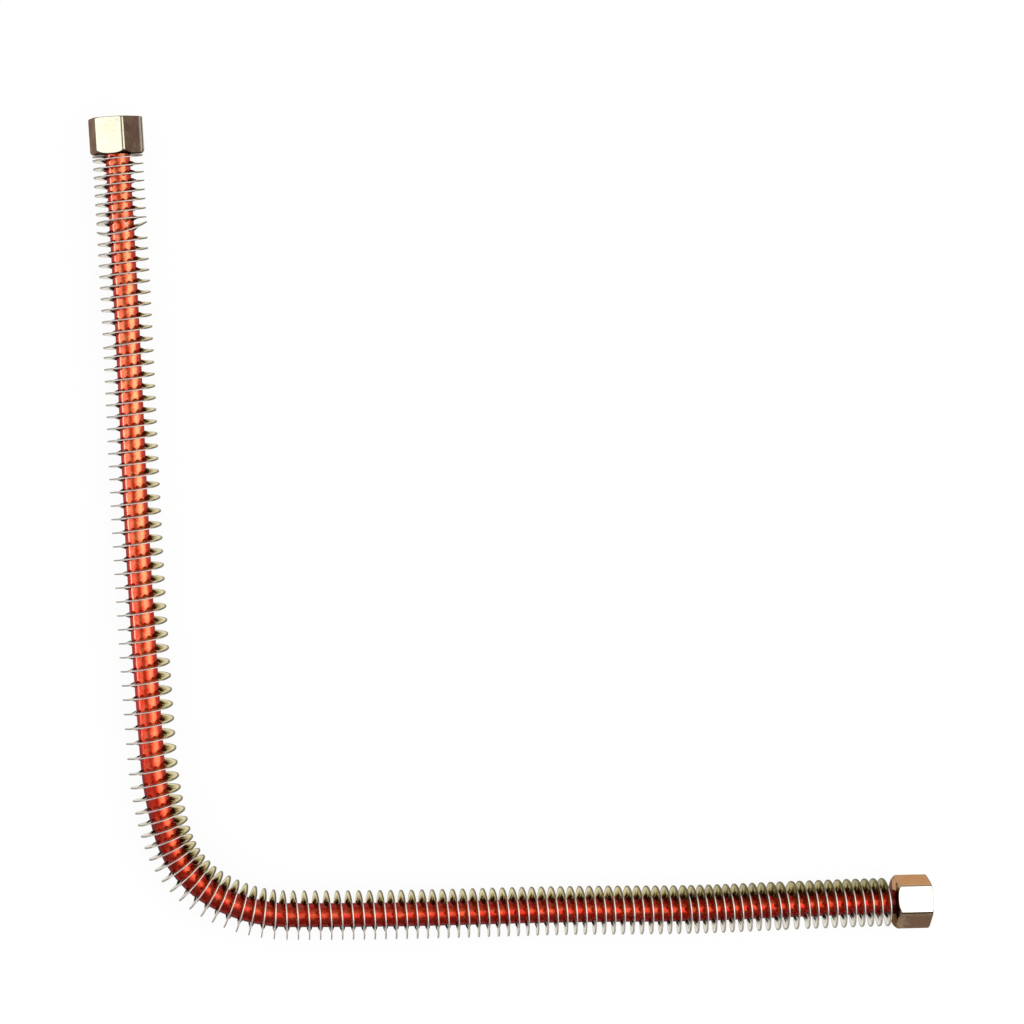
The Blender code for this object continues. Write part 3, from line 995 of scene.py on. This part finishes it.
class OBJECT_OT_finned_tube_fin(bpy.types.Operator):
    """Winds the crimped fin strip round the tube"""

    bl_idname = "object.finned_tube_fin"
    bl_label = "Fin strip"

    def execute(self, context):
        scene = context.scene
        bm = fin_mesh(scene.fin_settings, scene.tube_settings, scene.nut_settings)
        material = strip_material(scene.fin_settings)
        made = mesh_object("wound_fin", bm, material, BODY, ("fin_strip",))
        thick = made.modifiers.new("thickness", "SOLIDIFY")
        thick.thickness = scene.fin_settings.thickness
        thick.offset = 0
        soften(made, 40)
        return {"FINISHED"}


class OBJECT_OT_finned_tube_nuts(bpy.types.Operator):
    """Makes both union nuts with their thread, and the cone sleeves inside them"""

    bl_idname = "object.finned_tube_nuts"
    bl_label = "Nuts and sleeves"

    def execute(self, context):
        nut = context.scene.nut_settings
        tube = context.scene.tube_settings
        brass = brass_material(nut)
        zinc = zinc_material(nut)
        for end in ("riser", "run"):
            matrix = end_matrix(end)
            body = end + "_nut"
            bm = nut_mesh(nut, tube, matrix, NUT_TINTS_AND_REFLECTIONS[end], NUT_HIGHLIGHT_BANDS[end], NUT_REAR_REFLECTIONS[end])
            made = mesh_object(end + "_union_nut", bm, zinc, body, (body,))
            soften(made, 25)
            bm = sleeve_mesh(nut, tube, matrix)
            made = mesh_object(end + "_cone_sleeve", bm, brass, BODY, (end + "_sleeve",))
            soften(made, 30)
        return {"FINISHED"}


def soft_box(name, high, low, depth, level, colour):
    """A soft box across the object: high and low are the (x, z) of its edges, depth its reach along Y."""
    run = Vector((high[0] - low[0], high[1] - low[1]))
    lamp = bpy.data.lights.new(name, "AREA")
    lamp.shape = "RECTANGLE"
    lamp.size = run.length
    lamp.size_y = depth[1] - depth[0]
    lamp.energy = level * math.pi * lamp.size * lamp.size_y
    lamp.color = colour
    made = bpy.data.objects.new(name, lamp)
    made.location = ((high[0] + low[0]) / 2, sum(depth) / 2, (high[1] + low[1]) / 2)
    made.rotation_euler = (0, -math.atan2(run.y, run.x) if run.x > 0 else math.atan2(run.y, -run.x), 0)
    bpy.context.scene.collection.objects.link(made)
    made.visible_camera = False


def bare_material(name):
    """A material without its Principled shader; returns it, its tree and the socket of its surface."""
    material = bpy.data.materials.new(name)
    material.use_nodes = True
    tree = material.node_tree
    tree.nodes.remove(tree.nodes["Principled BSDF"])
    return material, tree, tree.nodes["Material Output"].inputs["Surface"]


def stage_sheet(name, size, material, matrix):
    """A flat sheet of the stage, put in place by a matrix."""
    bm = bmesh.new()
    bmesh.ops.create_grid(bm, x_segments=1, y_segments=1, size=0.5)
    bmesh.ops.scale(bm, vec=(*size, 1), verts=bm.verts)
    bmesh.ops.transform(bm, matrix=matrix, verts=bm.verts)
    mesh = bpy.data.meshes.new(name)
    bm.to_mesh(mesh)
    bm.free()
    mesh.materials.append(material)
    made = bpy.data.objects.new(name, mesh)
    bpy.context.scene.collection.objects.link(made)
    return made


def shown_to_sight(tree):
    """1 for camera, glossy and transmission rays, and 0 for the rest."""
    path = tree.nodes.new("ShaderNodeLightPath")
    seen = math_node(tree, "ADD", path.outputs["Is Camera Ray"], path.outputs["Is Glossy Ray"], True)
    return math_node(tree, "ADD", seen, path.outputs["Is Transmission Ray"], True)


class OBJECT_OT_finned_tube_stage(bpy.types.Operator):
    """Sets up the pale floor, the soft boxes, the world and the camera"""

    bl_idname = "object.finned_tube_stage"
    bl_label = "Stage"

    def execute(self, context):
        scene = context.scene
        stage = scene.stage_settings
        self.floor(stage)
        self.cards()
        self.world(scene)
        level = stage.box_level
        soft_box("left_box", (-0.80, 1.3), (-1.55, 0.33), (-0.35, 0.36), level, (1.0, 0.97, 0.95))
        soft_box("right_box", (-0.06, 1.3), (1.35, 0.25), (-0.47, 0.36), level * 1.5, (1.0, 0.98, 0.93))
        self.camera(scene)
        scene.view_settings.view_transform = "Standard"
        return {"FINISHED"}

    def floor(self, stage):
        """A white floor that shows plain white to sight and keeps the shadow in its diffuse share."""
        material, tree, surface = bare_material("white_floor")
        matte = tree.nodes.new("ShaderNodeBsdfDiffuse")
        matte.inputs["Color"].default_value = (0.9, 0.9, 0.9, 1)
        glow = tree.nodes.new("ShaderNodeEmission")
        mix = tree.nodes.new("ShaderNodeMixShader")
        share = math_node(tree, "MULTIPLY", shown_to_sight(tree), stage.floor_white)
        tree.links.new(share, mix.inputs["Fac"])
        tree.links.new(matte.outputs["BSDF"], mix.inputs[1])
        tree.links.new(glow.outputs["Emission"], mix.inputs[2])
        tree.links.new(mix.outputs["Shader"], surface)
        stage_sheet("floor", (stage.floor_size, stage.floor_size), material, Matrix())

    def cards(self):
        """Grey cards that only reflections see, as a studio sets round bright metal."""
        for name, place, turn, size, level in CARDS:
            material, tree, surface = bare_material(name)
            glow = tree.nodes.new("ShaderNodeEmission")
            glow.inputs["Color"].default_value = (level, level, level, 1)
            tree.links.new(glow.outputs["Emission"], surface)
            matrix = Euler([radians(angle) for angle in turn]).to_matrix().to_4x4()
            matrix.translation = place
            made = stage_sheet(name, size, material, matrix)
            made.visible_camera = False
            made.visible_diffuse = False
            made.visible_shadow = False
            made.visible_transmission = False

    def world(self, scene):
        """White to sight, and an even light grey fill for the rest."""
        world = bpy.data.worlds.new("studio")
        scene.world = world
        world.use_nodes = True
        tree = world.node_tree
        shade = tree.nodes["Background"]
        colour = mix_node(tree, shown_to_sight(tree), (0.9, 0.9, 0.9), (1.0, 1.0, 1.0))
        tree.links.new(colour, shade.inputs["Color"])

    def camera(self, scene):
        """The camera at the photograph's place."""
        data = bpy.data.cameras.new("camera")
        data.lens = CAMERA_LENS
        data.sensor_width = 36.0
        data.clip_start = 0.01
        made = bpy.data.objects.new("camera", data)
        made.location = CAMERA_PLACE
        made.rotation_euler = CAMERA_TURN
        scene.collection.objects.link(made)
        scene.camera = made


class VIEW3D_PT_finned_tube(bpy.types.Panel):
    """Lists the steps and their sizes"""

    bl_idname = "VIEW3D_PT_finned_tube"
    bl_label = "Finned tube"
    bl_space_type = "VIEW_3D"
    bl_region_type = "UI"
    bl_category = "Finned Tube"

    def draw(self, context):
        for operator, settings in STEPS:
            box = self.layout.box()
            box.operator(operator.bl_idname)
            group = getattr(context.scene, settings)
            for name in group.__annotations__:
                box.prop(group, name)


SETTINGS = {
    "tube_settings": TubeSettings,
    "fin_settings": FinSettings,
    "nut_settings": NutSettings,
    "stage_settings": StageSettings,
}
STEPS = (
    (OBJECT_OT_finned_tube_stage, "stage_settings"),
    (OBJECT_OT_finned_tube_tube, "tube_settings"),
    (OBJECT_OT_finned_tube_fin, "fin_settings"),
    (OBJECT_OT_finned_tube_nuts, "nut_settings"),
)


def register():
    """Registers the settings, the operators and the panel."""
    for name, group in SETTINGS.items():
        bpy.utils.register_class(group)
        setattr(bpy.types.Scene, name, bpy.props.PointerProperty(type=group))
    for operator, settings in STEPS:
        bpy.utils.register_class(operator)
    bpy.utils.register_class(VIEW3D_PT_finned_tube)


def unregister():
    """Takes them away again."""
    bpy.utils.unregister_class(VIEW3D_PT_finned_tube)
    for operator, settings in reversed(STEPS):
        bpy.utils.unregister_class(operator)
    for name, group in SETTINGS.items():
        delattr(bpy.types.Scene, name)
        bpy.utils.unregister_class(group)


def main():
    """Builds the stage and the part."""
    register()
    bpy.ops.object.finned_tube_stage()
    bpy.ops.object.finned_tube_tube()
    bpy.ops.object.finned_tube_fin()
    bpy.ops.object.finned_tube_nuts()


if __name__ == "__main__":
    main()
